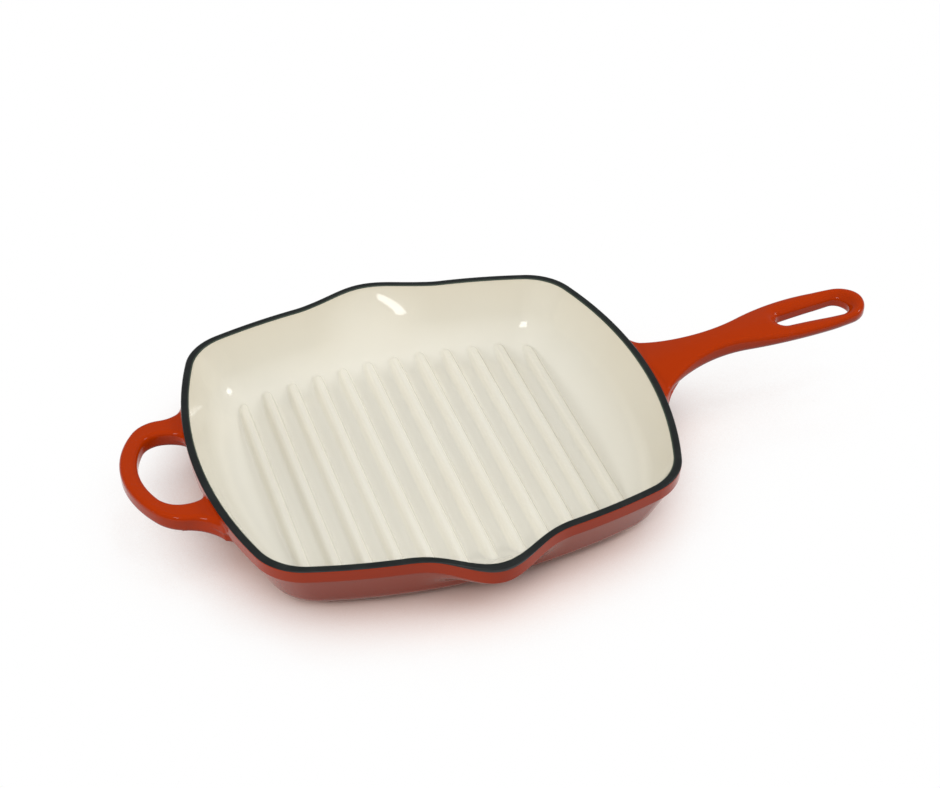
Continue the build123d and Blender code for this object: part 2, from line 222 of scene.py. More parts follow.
class GrillPanFinish(bpy.types.PropertyGroup):
    """Colours and gloss of the enamel."""

    orange: colour("Orange", (0.385, 0.030, 0.0003), "Main colour of the outside enamel")
    # Deep orange: mixed in at random patches and, as painted shade, low on the outside wall
    orange_deep: colour("Deep orange", (0.29, 0.017, 0.0002), "Outside enamel where it lies thick")
    cream: colour("Cream", (0.74, 0.715, 0.625), "Main colour of the inside enamel")
    # Warm cream: painted warm bounce light that grows up the inside walls, mixed in random patches
    # too
    cream_warm: colour("Warm cream", (0.71, 0.655, 0.53), "Inside enamel where it lies thin")
    black: colour("Ground coat", (0.010, 0.012, 0.012), "The rim's ground coat")
    rim_dust: colour("Rim dust", (0.028, 0.032, 0.030), "Paler specks on the rim")
    rim_edge: colour("Rim edge", (0.060, 0.085, 0.060), "Inner edge of the rim, where it thins")
    iron: colour("Iron", (0.10, 0.10, 0.10), "Bare casting, under the coats")
    iron_sand: colour("Iron sand", (0.16, 0.155, 0.15), "Paler grains of the casting")
    gloss: share("Orange gloss", 0.2, "How strongly the outside enamel reflects")
    rim_gloss: share("Rim gloss", 0.4, "How strongly the ground coat reflects")


class GrillPanStage(bpy.types.PropertyGroup):
    """The camera, the floor and the lights."""

    camera_place: FloatVectorProperty(
        name="Camera", description="Place of the camera", size=3, unit="LENGTH",
        default=(-0.2258, -0.7603, 0.6771),
    )
    camera_target: FloatVectorProperty(
        name="Camera target", description="Point in the middle of the picture", size=3,
        unit="LENGTH", default=(0.02692, 0.00417, 0.042),
    )
    camera_roll: FloatProperty(
        name="Roll", description="Tilt of the camera about its line of sight",
        default=math.radians(-0.511), subtype="ANGLE",
    )
    lens: FloatProperty(name="Lens", description="Focal length in millimetres", default=71.68)
    sky: FloatProperty(name="Sky", description="Strength of the even light", default=0.22, min=0)
    lamps: FloatProperty(
        name="Lamps", description="Strength of all lamps, 1 as set up", default=1.0, min=0
    )
    floor_size: length("Floor size", 40.0, "Side of the floor")
    floor_tone: share("Floor tone", 0.36, "Lightness of the floor in the light that it throws back")
    # The shadow's warm tint is painted bounce light from the orange wall
    shadow_tint: colour("Shadow tint", (0.78, 0.58, 0.50), "Floor close to the pan, in its shadow")
    shadow_reach: length("Shadow reach", 0.12, "How far from the pan its shadow shows at most")


def eased(t):
    """0 below 0, 1 above 1, and a smooth rise between."""
    t = np.clip(t, 0, 1)
    return t * t * (3 - 2 * t)


def hump(place, reach):
    """1 up to 0, 0 from the reach on, and a smooth fall between."""
    return (1 + np.cos(np.pi * np.clip(place / reach, 0, 1))) / 2


def bend_radius(run, rise):
    """Radius of an arc that starts level and rises so far over that run."""
    return (run ** 2 + rise ** 2) / (rise * 2)


def cross(a, b):
    """Turn from plan vector a to plan vector b."""
    return a[0] * b[1] - a[1] * b[0]


def rounded_cut(a, b, radius):
    """What two fields share, with its edge rounded."""
    corner = np.hypot(np.maximum(a + radius, 0), np.maximum(b + radius, 0))
    return corner + np.minimum(np.maximum(a, b), -radius)


def blended(a, b, softness):
    """Two fields joined, with a fillet where they meet."""
    near = np.maximum(softness - np.abs(a - b), 0) / softness
    return np.minimum(a, b) - near ** 2 * softness / 4


def softly_higher(a, b, softness):
    """The higher of two heights, blended where they are alike."""
    softness = np.maximum(softness, 1e-9)
    near = np.maximum(softness - np.abs(a - b), 0) / softness
    return np.maximum(a, b) + near ** 2 * softness / 4


class BasinForm:
    """Outlines and walls of the basin, worked out from its size settings."""

    END_STEPS = 60
    CORNER_STEPS = 44
    SIDE_STEPS = 36
    LIP_STEPS = 44

    def __init__(self, sizes):
        self.s = sizes
        self.end_x = sizes.half_length - sizes.end_bow
        self.side_y = sizes.half_width - sizes.side_bow
        self.depth = sizes.rim_height - sizes.floor_thickness

    def corner_centre(self, inset, corner):
        first = self.s.end_bow - inset - corner
        second = self.s.side_bow - inset - corner
        dx, dy = -self.end_x, self.side_y
        gap = math.hypot(dx, dy)
        along = (gap ** 2 + first ** 2 - second ** 2) / (gap * 2)
        across = np.sqrt(first ** 2 - along ** 2)
        x = self.end_x + (dx * along - dy * across) / gap
        return x, (dy * along + dx * across) / gap

    def lip_arms(self, inset, lip):
        """Control points of a lip's curve, from its foot to its tip."""
        s = self.s
        radius = s.side_bow - inset
        foot_y = self.side_y + np.sqrt(radius ** 2 - s.lip_half_span ** 2)
        arm = s.lip_half_span * s.lip_side_share
        arm_y = foot_y + arm * s.lip_half_span / (foot_y - self.side_y)
        top = s.half_width - inset + lip
        xs = (s.lip_half_span, s.lip_half_span - arm, s.lip_half_span * s.lip_tip_share, 0.0)
        return xs, (foot_y, arm_y, top, top)

    @staticmethod
    def bezier(points, t):
        a, b, c, d = points
        u = 1 - t
        return a * u ** 3 + b * 3 * u * u * t + c * 3 * u * t * t + d * t ** 3

    @staticmethod
    def bezier_slope(points, t):
        a, b, c, d = points
        u = 1 - t
        return 3 * ((b - a) * u * u + (c - b) * 2 * u * t + (d - c) * t * t)

    def outline(self, inset, corner_share, lip):
        """Points round the pan at one inset, always as many."""
        corner = self.s.corner_radius - inset * corner_share
        cx, cy = self.corner_centre(inset, corner)
        end_turn = math.atan2(cy, cx - self.end_x)
        side_turn = math.atan2(cy - self.side_y, cx)
        side = self.s.side_bow - inset
        foot_turn = math.acos(self.s.lip_half_span / side)
        a = np.linspace(0, end_turn, self.END_STEPS, endpoint=False)
        b = np.linspace(end_turn, side_turn, self.CORNER_STEPS, endpoint=False)
        c = np.linspace(side_turn, foot_turn, self.SIDE_STEPS, endpoint=False)
        end = self.s.end_bow - inset
        xs, ys = self.lip_arms(inset, lip)
        t = np.linspace(0, 1, self.LIP_STEPS + 1)
        quarter = np.concatenate([
            np.column_stack([self.end_x + end * np.cos(a), end * np.sin(a)]),
            np.column_stack([cx + corner * np.cos(b), cy + corner * np.sin(b)]),
            np.column_stack([side * np.cos(c), self.side_y + side * np.sin(c)]),
            np.column_stack([self.bezier(xs, t), self.bezier(ys, t)]),
        ])
        back = quarter[::-1]
        return np.concatenate([
            quarter[:-1],
            (back * [-1, 1])[:-1],
            -quarter[:-1],
            (back * [1, -1])[:-1],
        ])

    def gap(self, x, y, inset, corner_share, lip):
        """Distance from the outline at an inset, seen from above, negative inside."""
        x, y = np.abs(x), np.abs(y)
        corner = self.s.corner_radius - inset * corner_share
        cx, cy = self.corner_centre(inset, corner)
        from_end, from_side = (x - self.end_x, y), (x, y - self.side_y)
        in_end = cross((cx - self.end_x, cy), from_end) <= 0
        in_side = cross((cx, cy - self.side_y), from_side) >= 0
        end = np.hypot(*from_end) - (self.s.end_bow - inset)
        side = np.hypot(*from_side) - (self.s.side_bow - inset)
        xs, ys = self.lip_arms(inset, lip)
        table = np.linspace(0, 1, 400)
        t = np.interp(-x, -self.bezier(xs, table), table)
        slope_x, slope_y = self.bezier_slope(xs, t), self.bezier_slope(ys, t)
        steep = np.abs(slope_x) / np.hypot(slope_x, slope_y)
        side = np.where(x < self.s.lip_half_span, (y - self.bezier(ys, t)) * steep, side)
        round_corner = np.hypot(x - cx, y - cy) - corner
        alone = np.where(in_end, end, np.where(in_side, side, round_corner))
        return np.where(in_end & in_side, np.maximum(end, side), alone)

    def lip_at(self, depth, hold, fade):
        return self.s.lip_reach * hump(depth - hold, fade - hold)

    def rim_drop(self, x):
        """How far the rim lies lower near the lips."""
        return self.s.lip_dip * hump(np.abs(x), self.s.lip_dip_span)

    def outer_drop(self, x, depth):
        """How far a line round the outside lies lower near the lips."""
        s = self.s
        rim = self.rim_drop(x) * (1 - eased(depth / s.outer_fade))
        grown = eased(depth / s.collar_depth)
        left = hump(depth - s.collar_depth, s.outer_fade - s.collar_depth)
        return rim + s.lip_droop * hump(np.abs(x), s.lip_droop_span) * grown * left

    def outer_ring(self, depth, inset):
        """One ring of the outside wall."""
        s = self.s
        lip = float(self.lip_at(depth, s.outer_hold, s.outer_fade))
        plan = self.outline(inset, s.outer_corner_share, lip)
        return np.column_stack([plan, s.rim_height - depth - self.outer_drop(plan[:, 0], depth)])

    def inner_ring(self, depth, inset):
        """One ring of the inside wall."""
        s = self.s
        plan = self.outline(inset, s.inner_corner_share, float(self.lip_at(depth, 0, s.inner_fade)))
        drop = self.rim_drop(plan[:, 0]) * (1 - eased(depth / s.inner_fade))
        return np.column_stack([plan, s.rim_height - depth - drop])

    def outer_inset(self, depth):
        """How far the outside is drawn in at a depth under the rim."""
        s = self.s
        edge = s.rim_round - np.sqrt(
            s.rim_round ** 2 - np.clip(s.rim_round - depth, 0, s.rim_round) ** 2
        )
        draft = s.collar_draft * np.clip(depth / s.collar_depth, 0, 1)
        step = s.collar_step * eased((depth - s.collar_depth) / s.collar_ease + 0.5)
        start, start_inset, centre = self.outer_round()
        foot = s.collar_depth + s.collar_ease / 2
        wall = np.maximum(depth - foot, 0) * math.tan(s.lean)
        upper = edge + draft + step + wall
        below = np.clip(depth - (s.rim_height - s.base_round), 0, s.base_round)
        lower = centre - np.sqrt(s.base_round ** 2 - below ** 2)
        return np.where(depth < start, upper, lower)

    def outer_round(self):
        """Depth and inset where the rounding to the base starts, and its centre's inset."""
        s = self.s
        start = s.rim_height - s.base_round * (1 - math.sin(s.lean))
        foot = s.collar_depth + s.collar_ease / 2
        inset = s.collar_draft + s.collar_step + (start - foot) * math.tan(s.lean)
        return start, inset, inset + s.base_round * math.cos(s.lean)

    def inner_round(self):
        s = self.s
        start = self.depth - s.floor_round * (1 - math.sin(s.lean))
        inset = s.rim_band + (start - s.rim_round) * math.tan(s.lean)
        return start, inset, inset + s.floor_round * math.cos(s.lean)

    def inner_inset(self, depth):
        """How far the inside is drawn in at a depth under the rim."""
        s = self.s
        start, inset, centre = self.inner_round()
        wall = s.rim_band + (depth - s.rim_round) * math.tan(s.lean)
        below = np.clip(depth - (self.depth - s.floor_round), 0, s.floor_round)
        lower = centre - np.sqrt(s.floor_round ** 2 - below ** 2)
        return np.where(depth < start, wall, lower)

    def outside(self, x, y, z):
        """Field of the filled basin, negative inside."""
        s = self.s
        depth = np.clip(s.rim_height - z, 0, s.rim_height)
        inset = self.outer_inset(depth)
        lip = self.lip_at(depth, s.outer_hold, s.outer_fade)
        delta = 0.05 * MM
        rate = (self.outer_inset(np.minimum(depth + delta, s.rim_height)) - inset) / delta
        wall = self.gap(x, y, inset, s.outer_corner_share, lip) / np.sqrt(1 + rate ** 2)
        return np.maximum(wall, np.maximum(z - s.rim_height, -z))


class LongHandleForm:
    """The long handle as a field, with its flare, swell, belly and hang slot."""

    def __init__(self, basin, sizes):
        self.h = h = sizes
        self.inner_end = basin.half_length - h.root_inset - h.buried
        waist_x = basin.half_length + h.waist_reach
        swell_x = waist_x + h.swell_reach
        self.flare = bend_radius(waist_x - self.inner_end, h.buried_half_width - h.waist)
        self.flare_centre = (waist_x, h.waist + self.flare)
        self.swell = bend_radius(h.swell_reach, h.swell - h.waist) - self.flare
        drop = self.swell - h.swell
        self.swell_centre = (swell_x, -drop)
        reach = h.tip - swell_x
        spare = self.swell - reach
        self.end = (self.swell ** 2 - reach ** 2 - drop ** 2) / (spare * 2)
        self.end_centre = (h.tip - self.end, 0.0)
        root_x = self.root_x = basin.half_length - h.root_inset
        root_z = basin.rim_height - h.root_drop
        run, rise = h.tip - root_x, h.tip_top - root_z
        chord = math.hypot(run, rise)
        self.back = (chord ** 2 / 4 + h.arch ** 2) / (h.arch * 2)
        drop = self.back - h.arch
        self.back_centre = (
            root_x + run / 2 + rise / chord * drop,
            root_z + rise / 2 - run / chord * drop,
        )
        self.slot_wide_x = h.tip - h.slot_wall
        self.slot_narrow_x = self.slot_wide_x - h.slot_span

    def plan(self, x, y):
        """Distance from the handle's outline, seen from above."""
        p = np.array([x, np.abs(y)])

        def away(centre):
            return np.hypot(p[0] - centre[0], p[1] - centre[1])

        def side_of(first, second):
            way = (second[0] - first[0], second[1] - first[1])
            return cross(way, (p[0] - first[0], p[1] - first[1]))

        flare = self.flare - away(self.flare_centre)
        swell = away(self.swell_centre) - self.swell
        end = away(self.end_centre) - self.end
        outer = np.where(side_of(self.swell_centre, self.end_centre) < 0, end, swell)
        return np.where(side_of(self.swell_centre, self.flare_centre) > 0, flare, outer)

    def slot(self, x, y):
        """Distance from the hang slot's edge, negative in the slot."""
        h = self.h
        along, across = self.slot_wide_x - x, np.abs(y)
        sine = (h.slot_wide - h.slot_narrow) / h.slot_span
        cosine = math.sqrt(1 - sine ** 2)
        place = along * cosine - across * sine
        wide = np.hypot(along, across) - h.slot_wide
        narrow = np.hypot(along - h.slot_span, across) - h.slot_narrow
        flank = along * sine + across * cosine - h.slot_wide
        return np.where(place < 0, wide, np.where(place > h.slot_span * cosine, narrow, flank))

    def field(self, x, y, z):
        h = self.h
        plan = self.plan(x, y)
        level = np.hypot(x - self.back_centre[0], z - self.back_centre[1]) - self.back
        lift = h.tip_lift * eased((x - h.tip + h.tip_lift_reach) / h.tip_lift_run)
        fall = h.crown_reach ** 2 / (h.crown * 2)
        top = level - lift + fall * (1 - np.exp(-(y / h.crown_reach) ** 2))
        out = np.clip((x - self.root_x) / (h.tip - self.root_x), 0, 1)
        thickness = h.thickness + (h.tip_thickness - h.thickness) * out
        under = lift / 2 - level - thickness + y ** 2 / (h.belly * 2)
        solid = rounded_cut(rounded_cut(plan, top, h.top_round), under, h.under_round)
        share_up = (level + thickness) / thickness
        upper = eased((share_up - SLOT_LOW_SHARE) / (SLOT_HIGH_SHARE - SLOT_LOW_SHARE))
        edge = h.slot_under_round + (h.slot_round - h.slot_under_round) * upper
        solid = rounded_cut(solid, -self.slot(x, y), edge)
        return np.maximum(solid, self.inner_end - x)


class LoopForm:
    """The helper handle as a field: a bowed loop with flared feet and a finger gap."""

    def __init__(self, basin, sizes):
        self.h = h = sizes
        self.root = basin.half_length - h.loop_root_inset
        self.front_x = h.loop_reach - h.loop_bow
        corner_y = h.loop_half_width - h.loop_corner
        run = math.sqrt((h.loop_bow - h.loop_corner) ** 2 - corner_y ** 2)
        self.corner = (self.front_x + run, corner_y)
        self.foot_x = self.corner[0] - h.loop_shoulder
        self.gap_bow = h.loop_bow - h.loop_strap
        gap_y = h.loop_gap - h.loop_gap_corner
        run = math.sqrt((self.gap_bow - h.loop_gap_corner) ** 2 - gap_y ** 2)
        self.gap_corner = (self.front_x + run, gap_y)
        self.gap_root = bend_radius(self.gap_corner[0] - self.root, h.loop_gap_narrowing)

    def bowed(self, x, y, bow, corner, radius, half_width):
        """Distance from a line with a bowed front, round corners and straight sides."""
        front = np.hypot(x - self.front_x, y) - bow
        side = y - half_width
        turn = np.hypot(x - corner[0], y - corner[1]) - radius
        past = cross((corner[0] - self.front_x, corner[1]), (x - self.front_x, y)) > 0
        ahead = x > corner[0]
        return np.where(past & ahead, turn, np.where(past, side, np.maximum(front, side)))

    def plan(self, x, y, low):
        """Distance from the loop's outer line; low is 0 at its top and 1 at its bottom."""
        h = self.h
        line = self.bowed(x, y, h.loop_bow, self.corner, h.loop_corner, h.loop_half_width)
        start = self.foot_x + h.loop_low_reach * low
        rise = h.loop_flare + h.loop_low_flare * low
        turn = bend_radius(start - self.root, rise)
        flare = turn - np.hypot(x - start, y - h.loop_half_width - turn)
        flare = np.maximum(flare, y - h.loop_half_width - rise)
        return np.where(x < start, np.minimum(flare, np.where(x < self.foot_x, flare, line)), line)

    def finger_gap(self, x, y):
        h = self.h
        line = self.bowed(x, y, self.gap_bow, self.gap_corner, h.loop_gap_corner, h.loop_gap)
        flat = h.loop_gap - self.gap_root
        back = self.gap_corner[0] - x
        narrow = np.hypot(np.maximum(back, 0), np.maximum(y - flat, 0)) - self.gap_root
        return np.where(back > 0, narrow, line)

    def field(self, x, y, z):
        h = self.h
        x, y = -x, np.abs(y)
        out = np.clip((x - self.root) / (h.loop_reach - self.root), 0, 1)
        top = h.loop_top - h.loop_rise * (1 - out)
        y = y / (1 - h.loop_taper * out)
        slab = np.abs(z - top + h.loop_thickness / 2) - h.loop_thickness / 2
        low = np.clip((top - z) / h.loop_thickness, 0, 1)
        solid = rounded_cut(self.plan(x, y, low), slab, h.loop_round)
        solid = rounded_cut(solid, -self.finger_gap(x, y), h.loop_round)
        return np.maximum(solid, self.root - h.buried - x)


def field_mesh(field, low, high, step):
    """Points and quads on a field's zero surface: a net over a grid, moved onto the surface."""
    axes = [np.arange(a, b + step, step) for a, b in zip(low, high)]
    value = field(*np.meshgrid(*axes, indexing="ij"))
    inside = value < 0
    cells = tuple(n - 1 for n in value.shape)
    total = np.zeros(cells + (3,))
    count = np.zeros(cells)
    edges = []
    for axis in range(3):
        last = value.shape[axis] - 1
        first, second = (np.take(value, range(i, i + last), axis) for i in (0, 1))
        hit = np.argwhere((first < 0) != (second < 0))
        a, b = first[tuple(hit.T)], second[tuple(hit.T)]
        place = hit.astype(float)
        place[:, axis] += a / (a - b)
        around = [(axis + 1) % 3, (axis + 2) % 3]
        ok = np.all([(hit[:, k] > 0) & (hit[:, k] < cells[k]) for k in around], axis=0)
        hit, place, rising = hit[ok], place[ok], (a < 0)[ok]
        corners = []
        for du, dv in ((1, 1), (0, 1), (0, 0), (1, 0)):
            cell = hit.copy()
            cell[:, around[0]] -= du
            cell[:, around[1]] -= dv
            np.add.at(total, tuple(cell.T), place)
            np.add.at(count, tuple(cell.T), 1)
            corners.append(np.ravel_multi_index(tuple(cell.T), cells))
        quads = np.column_stack(corners)
        quads[~rising] = quads[~rising][:, ::-1]
        edges.append(quads)
    used = np.flatnonzero(count.ravel())
    number = np.full(count.size, -1)
    number[used] = np.arange(len(used))
    points = total.reshape(-1, 3)[used] / count.ravel()[used, None] * step + np.array(low)
    for _ in range(SURFACE_MOVES):
        off, slope = field_slope(field, points)
        move = off[:, None] * slope / np.maximum((slope ** 2).sum(1), LEAST_SLOPE)[:, None]
        points -= np.clip(move, -step / 2, step / 2)
    return points, number[np.concatenate(edges)]


def field_slope(field, points):
    """A field's value and gradient at points."""
    delta = 0.02 * MM
    slope = np.empty_like(points)
    for axis in range(3):
        aside = np.zeros(3)
        aside[axis] = delta
        slope[:, axis] = field(*(points + aside).T) - field(*(points - aside).T)
    return field(*points.T), slope / (delta * 2)


def new_piece(name, points, faces, material, nodes, doubled=None):
    """A smooth-shaded mesh that rides on the pan and stands for CAD nodes."""
    mesh = bpy.data.meshes.new(name)
    mesh.from_pydata([tuple(p) for p in points], [], [tuple(int(i) for i in f) for f in faces])
    mesh.update()
    piece = bpy.data.objects.new(name, mesh)
    bpy.context.scene.collection.objects.link(piece)
    work = bmesh.new()
    work.from_mesh(mesh)
    if doubled:
        bmesh.ops.remove_doubles(work, verts=work.verts, dist=doubled)
    loose = [v for v in work.verts if not v.link_faces]
    bmesh.ops.delete(work, geom=loose, context="VERTS")
    work.to_mesh(mesh)
    work.free()
    mesh.shade_smooth()
    mesh.materials.append(material)
    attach(piece, "root")
    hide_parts(*nodes)
    return piece


def ring_faces(rings, around, closed=False):
    """Quads between rings of points that follow each other."""
    faces = []
    pairs = [(i, i + 1) for i in range(rings - 1)]
    if closed:
        pairs.append((rings - 1, 0))
    for a, b in pairs:
        for i in range(around):
            j = (i + 1) % around
            faces.append((a * around + i, b * around + i, b * around + j, a * around + j))
    return faces


class Value:
    """A number that changes over a surface, for use in sums."""

    def __init__(self, paint, socket):
        self.paint = paint
        self.socket = socket

    def math(self, operation, first, second=0.0):
        node = self.paint.node("ShaderNodeMath", {"operation": operation}, {0: first, 1: second})
        return Value(self.paint, node.outputs[0])

    def __add__(self, other):
        return self.math("ADD", self, other)

    def __radd__(self, other):
        return self.math("ADD", other, self)

    def __rsub__(self, other):
        return self.math("SUBTRACT", other, self)

    def __mul__(self, other):
        return self.math("MULTIPLY", self, other)

    def higher(self, other):
        """The higher of two numbers at each place."""
        return self.math("MAXIMUM", self, other)


class Paint:
    """The nodes of one material."""

    def __init__(self, name):
        self.material = bpy.data.materials.new(name)
        self.material.use_nodes = True
        self.tree = self.material.node_tree
        self.tree.nodes.clear()

    def node(self, kind, settings=None, inputs=None):
        """A node, its settings first and then the values or links of its sockets."""
        node = self.tree.nodes.new(kind)
        for name, setting in (settings or {}).items():
            if name == "stops":
                ramp = node.color_ramp
                for i, (place, tone) in enumerate(setting):
                    stop = ramp.elements[i] if i < 2 else ramp.elements.new(place)
                    stop.position = place
                    stop.color = (tone, tone, tone, 1)
            else:
                setattr(node, name, setting)
        for name, value in (inputs or {}).items():
            socket = node.inputs[name]
            if isinstance(value, Value):
                self.tree.links.new(value.socket, socket)
            elif isinstance(value, bpy.types.NodeSocket):
                self.tree.links.new(value, socket)
            else:
                socket.default_value = value
        return node

    def place(self):
        return self.node("ShaderNodeTexCoord").outputs["Object"]

    def noise(self, scale, detail=2.0, roughness=0.5):
        """A soft random pattern, with features about 1 / scale metres wide."""
        node = self.node(
            "ShaderNodeTexNoise", {},
            {"Vector": self.place(), "Scale": scale, "Detail": detail, "Roughness": roughness},
        )
        return Value(self, node.outputs[0])

    def ramp(self, value, stops):
        node = self.node("ShaderNodeValToRGB", {"stops": stops}, {0: value})
        return Value(self, node.outputs[0])

    def height(self):
        node = self.node("ShaderNodeSeparateXYZ", {}, {0: self.place()})
        return Value(self, node.outputs[2])

    def mixed(self, factor, first, second):
        node = self.node("ShaderNodeMix", {"data_type": "RGBA"}, {0: factor, 6: first, 7: second})
        return node.outputs[2]

    def bump(self, height, distance, strength=1.0):
        node = self.node(
            "ShaderNodeBump", {}, {"Height": height, "Distance": distance, "Strength": strength}
        )
        return node.outputs[0]

    def finish(self, inputs):
        """Closes the material with a shader that has these values and links."""
        shader = self.node("ShaderNodeBsdfPrincipled", {}, inputs)
        self.node("ShaderNodeOutputMaterial", {}, {"Surface": shader.outputs[0]})
        return self.material


def rgba(tone):
    return (*tone, 1.0)


def made_once(make):
    """A material is made when the first piece asks for it, and then used again."""
    def found():
        return bpy.data.materials.get(make.__name__) or make()

    return found


@made_once
def glossy_orange():
    """Glossy orange enamel, darker low on the wall in painted shade and deeper in random patches.
    """
    f = bpy.context.scene.grill_pan_finish
    paint = Paint("glossy_orange")
    cloud = paint.noise(*ORANGE_CLOUD)
    # Painted shade: the orange darkens towards the table below a set height, where the
    # downward-facing lower wall gets less light
    low = 1 - paint.height() * (1 / OUTSIDE_SHADE_TOP)
    depth = paint.ramp(low * 0.5 + cloud * 0.5, [(0.2, 0.0), (0.9, 1.0)])
    tone = paint.mixed(depth, rgba(f.orange), rgba(f.orange_deep))
    peel = paint.noise(*ORANGE_PEEL) * 0.8 + paint.noise(*ORANGE_FINE_PEEL) * 0.06
    sheen = 0.05 + paint.noise(*ORANGE_SHEEN) * 0.05
    return paint.finish({
        "Base Color": tone,
        "Roughness": sheen,
        "Specular IOR Level": f.gloss,
        "Normal": paint.bump(peel, 0.06 * MM),
    })


@made_once
def glossy_cream():
    """Glossy cream enamel, warmer higher up the walls in painted bounce light and in random
    patches.
    """
    f = bpy.context.scene.grill_pan_finish
    paint = Paint("glossy_cream")
    cloud = paint.noise(*CREAM_CLOUD)
    # Painted bounce light: the cream warms towards the rim, standing in for light thrown between
    # the walls
    high = paint.height() * (1 / INSIDE_BOUNCE_TOP)
    bounce_warmth = paint.ramp(high * 0.7 + cloud * 0.4, [(0.3, 0.0), (1.0, 1.0)])
    tone = paint.mixed(bounce_warmth, rgba(f.cream), rgba(f.cream_warm))
    peel = paint.noise(*CREAM_PEEL) * 0.7 + paint.noise(*CREAM_FINE_PEEL) * 0.05
    sheen = 0.06 + paint.noise(*CREAM_SHEEN) * 0.05
    return paint.finish({
        "Base Color": tone,
        "Roughness": sheen,
        "Normal": paint.bump(peel, 0.05 * MM),
    })


@made_once
def satin_black():
    """Satin black ground coat with a fine sandy grain and a paler inner edge."""
    f = bpy.context.scene.grill_pan_finish
    paint = Paint("satin_black")
    grain = paint.noise(*RIM_SAND) * 0.6 + paint.noise(*RIM_GRAIN) * 0.4
    dust = paint.ramp(paint.noise(*RIM_DUST), [(0.45, 0.0), (0.8, 1.0)])
    across = paint.node("ShaderNodeAttribute", {"attribute_name": "across"})
    inner = paint.ramp(Value(paint, across.outputs["Fac"]), [(0.66, 0.0), (0.84, 1.0)])
    tone = paint.mixed(dust * 0.5, rgba(f.black), rgba(f.rim_dust))
    tone = paint.mixed(inner * 0.7, tone, rgba(f.rim_edge))
    return paint.finish({
        "Base Color": tone,
        "Roughness": 0.30 + grain * 0.16,
        "Specular IOR Level": f.rim_gloss,
        "Normal": paint.bump(grain, 0.06 * MM),
    })


@made_once
def rough_iron():
    """Rough grey iron as it comes from the sand mould."""
    f = bpy.context.scene.grill_pan_finish
    paint = Paint("rough_iron")
    grain = paint.noise(*IRON_SAND)
    tone = paint.mixed(grain, rgba(f.iron), rgba(f.iron_sand))
    return paint.finish({
        "Base Color": tone,
        "Metallic": 0.7,
        "Roughness": 0.55 + grain * 0.2,
        "Normal": paint.bump(grain, 0.3 * MM),
    })


def basin_form():
    return BasinForm(bpy.context.scene.grill_pan_basin)


class GRILLPAN_OT_wall(bpy.types.Operator):
    """Build the orange enamel of the outside wall, from under the rim to the base"""

    bl_idname = "grillpan.wall"
    bl_label = "Outside wall enamel"

    def execute(self, context):
        form = basin_form()
        s = form.s
        start, _, _ = form.outer_round()
        edge = s.rim_round * np.array([0.3, 0.45, 0.62, 0.8, 1.0])
        collar = np.linspace(s.rim_round * 1.3, s.collar_depth - s.collar_ease * 0.8, 7)
        half_step = s.collar_ease / 2
        step = np.linspace(s.collar_depth - half_step, s.collar_depth + half_step, 11)
        wall = np.linspace(step[-1] + 0.8 * MM, start, 26)
        turns = np.radians(np.linspace(math.degrees(s.lean), WALL_TURN, 22))[1:]
        low = s.rim_height - s.base_round + s.base_round * np.sin(turns)
        depths = np.concatenate([edge, collar, step, wall, low])
        rings = [form.outer_ring(d, float(i)) for d, i in zip(depths, form.outer_inset(depths))]
        faces = ring_faces(len(rings), len(rings[0]))
        new_piece(
            "wall_coat", np.concatenate(rings), faces, glossy_orange(),
            ["outer_wall_enamel", "basin_casting"],
        )
        return {"FINISHED"}


class GRILLPAN_OT_base(bpy.types.Operator):
    """Build the enamel under the base"""

    bl_idname = "grillpan.base"
    bl_label = "Base enamel"

    def execute(self, context):
        form = basin_form()
        s = form.s
        turn = math.radians(WALL_TURN)
        depth = s.rim_height - s.base_round * (1 - math.sin(turn))
        _, _, centre = form.outer_round()
        edge = form.outer_ring(depth, centre - s.base_round * math.cos(turn))
        flat = form.outer_ring(s.rim_height, centre)
        shrink = np.array([1, 1, 0])
        rings = [edge] + [flat * (shrink * share) for share in (1.0, 0.985, 0.9, 0.7, 0.45, 0.2)]
        around = len(edge)
        points = np.concatenate(rings + [np.zeros((1, 3))])
        faces = ring_faces(len(rings), around)
        last = (len(rings) - 1) * around
        faces += [(last + i, len(points) - 1, last + (i + 1) % around) for i in range(around)]
        new_piece(
            "base_coat", points, faces, glossy_orange(), ["base_enamel"]
        )
        return {"FINISHED"}


